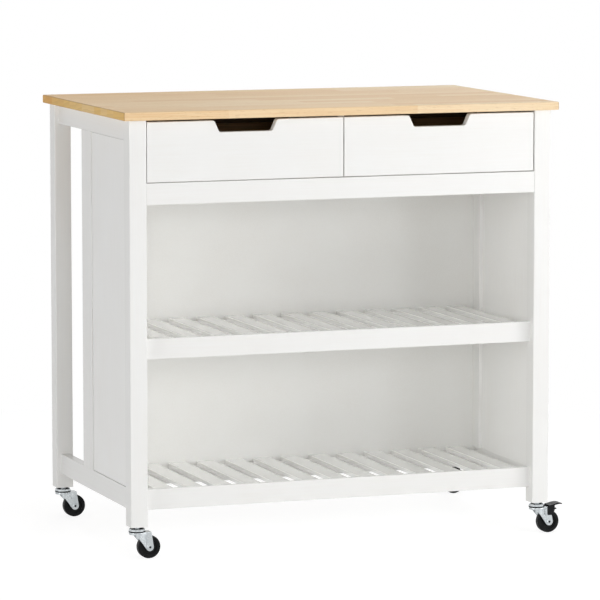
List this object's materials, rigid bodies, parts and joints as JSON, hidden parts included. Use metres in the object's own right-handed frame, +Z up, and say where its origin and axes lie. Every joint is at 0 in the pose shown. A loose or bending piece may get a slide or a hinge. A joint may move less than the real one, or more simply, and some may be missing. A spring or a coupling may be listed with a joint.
{
  "type": "kitchen island cart",
  "caption": "Wheeled kitchen island cart: wooden worktop on a white frame with drawers side by side, slatted shelves, knee space behind and swivel casters with pedal brakes.",
  "frame": {"origin": "on the floor, under the middle of the cart's outline", "axes": "+X to the right of someone who faces the drawers, +Y to the back, +Z up"},
  "size_m": [1.02, 0.608, 0.957],
  "materials": {
    "worktop_wood": "clear satin lacquer on jointed solid wood",
    "painted_wood": "white satin paint",
    "painted_board": "white painted thin board",
    "drawer_wood": "clear matt lacquer on plain wood",
    "zinc_steel": "bright zinc plate",
    "hardware_steel": "plain zinc plate",
    "black_tread": "satin black",
    "black_plastic": "satin black"
  },
  "bodies": {
    "cart_frame": {"back_panel": "painted_board", "bottom_shelf_front_rail": "painted_wood", "bottom_shelf_rear_rail": "painted_wood", "bottom_shelf_slats": "painted_wood", "cabinet_slides": "hardware_steel", "caster_inserts": "hardware_steel", "drawer_divider": "painted_wood", "drawer_rear_rail": "painted_wood", "front_left_caster_stem": "zinc_steel", "front_left_leg": "painted_wood", "front_rail": "painted_wood", "front_right_caster_stem": "zinc_steel", "front_right_leg": "painted_wood", "left_bottom_side_rail": "painted_wood", "left_middle_stile": "painted_wood", "left_side_panel": "painted_wood", "left_top_side_rail": "painted_wood", "mid_shelf_front_rail": "painted_wood", "mid_shelf_rear_rail": "painted_wood", "mid_shelf_slats": "painted_wood", "rear_left_caster_stem": "zinc_steel", "rear_left_leg": "painted_wood", "rear_right_caster_stem": "zinc_steel", "rear_right_leg": "painted_wood", "rear_top_rail": "painted_wood", "right_bottom_side_rail": "painted_wood", "right_middle_stile": "painted_wood", "right_side_panel": "painted_wood", "right_top_side_rail": "painted_wood", "worktop": "worktop_wood", "worktop_brackets": "hardware_steel"},
    "left_drawer": {"left_drawer_back": "drawer_wood", "left_drawer_bottom": "drawer_wood", "left_drawer_front": "painted_wood", "left_drawer_left_side": "drawer_wood", "left_drawer_right_side": "drawer_wood", "left_drawer_slides": "hardware_steel"},
    "right_drawer": {"right_drawer_back": "drawer_wood", "right_drawer_bottom": "drawer_wood", "right_drawer_front": "painted_wood", "right_drawer_left_side": "drawer_wood", "right_drawer_right_side": "drawer_wood", "right_drawer_slides": "hardware_steel"},
    "front_left_swivel": {"front_left_caster_fork": "zinc_steel", "front_left_caster_axle": "zinc_steel"},
    "front_left_wheel": {"front_left_caster_wheel": "black_tread"},
    "front_right_swivel": {"front_right_caster_fork": "zinc_steel", "front_right_caster_axle": "zinc_steel", "front_right_caster_brake_pin": "zinc_steel"},
    "front_right_wheel": {"front_right_caster_wheel": "black_tread"},
    "front_right_brake": {"front_right_caster_brake_pedal": "black_plastic"},
    "rear_left_swivel": {"rear_left_caster_fork": "zinc_steel", "rear_left_caster_axle": "zinc_steel"},
    "rear_left_wheel": {"rear_left_caster_wheel": "black_tread"},
    "rear_right_swivel": {"rear_right_caster_fork": "zinc_steel", "rear_right_caster_axle": "zinc_steel", "rear_right_caster_brake_pin": "zinc_steel"},
    "rear_right_wheel": {"rear_right_caster_wheel": "black_tread"},
    "rear_right_brake": {"rear_right_caster_brake_pedal": "black_plastic"}
  },
  "joints": [
    {"name": "left_drawer_slide", "type": "slide", "parent": "cart_frame", "child": "left_drawer", "axis": [0, -1, 0], "range_m": [0, 0.22]},
    {"name": "right_drawer_slide", "type": "slide", "parent": "cart_frame", "child": "right_drawer", "axis": [0, -1, 0], "range_m": [0, 0.22]},
    {"name": "front_left_swivel_turn", "type": "hinge", "parent": "cart_frame", "child": "front_left_swivel", "pos_m": [-0.476, -0.274, 0.058], "axis": [0, 0, 1], "continuous": true},
    {"name": "front_left_wheel_roll", "type": "hinge", "parent": "front_left_swivel", "child": "front_left_wheel", "pos_m": [-0.4505, -0.274, 0.025], "axis": [0, 1, 0], "continuous": true},
    {"name": "front_right_swivel_turn", "type": "hinge", "parent": "cart_frame", "child": "front_right_swivel", "pos_m": [0.452, -0.274, 0.058], "axis": [0, 0, 1], "continuous": true},
    {"name": "front_right_wheel_roll", "type": "hinge", "parent": "front_right_swivel", "child": "front_right_wheel", "pos_m": [0.4775, -0.274, 0.025], "axis": [0, 1, 0], "continuous": true},
    {"name": "front_right_brake_press", "type": "hinge", "parent": "front_right_swivel", "child": "front_right_brake", "pos_m": [0.4775, -0.274, 0.053], "axis": [0, 1, 0], "range_deg": [0, 10]},
    {"name": "rear_left_swivel_turn", "type": "hinge", "parent": "cart_frame", "child": "rear_left_swivel", "pos_m": [-0.476, 0.28, 0.058], "axis": [0, 0, 1], "continuous": true},
    {"name": "rear_left_wheel_roll", "type": "hinge", "parent": "rear_left_swivel", "child": "rear_left_wheel", "pos_m": [-0.4505, 0.28, 0.025], "axis": [0, 1, 0], "continuous": true},
    {"name": "rear_right_swivel_turn", "type": "hinge", "parent": "cart_frame", "child": "rear_right_swivel", "pos_m": [0.452, 0.28, 0.058], "axis": [0, 0, 1], "continuous": true},
    {"name": "rear_right_wheel_roll", "type": "hinge", "parent": "rear_right_swivel", "child": "rear_right_wheel", "pos_m": [0.4775, 0.28, 0.025], "axis": [0, 1, 0], "continuous": true},
    {"name": "rear_right_brake_press", "type": "hinge", "parent": "rear_right_swivel", "child": "rear_right_brake", "pos_m": [0.4775, 0.28, 0.053], "axis": [0, 1, 0], "range_deg": [0, 10]}
  ]
}
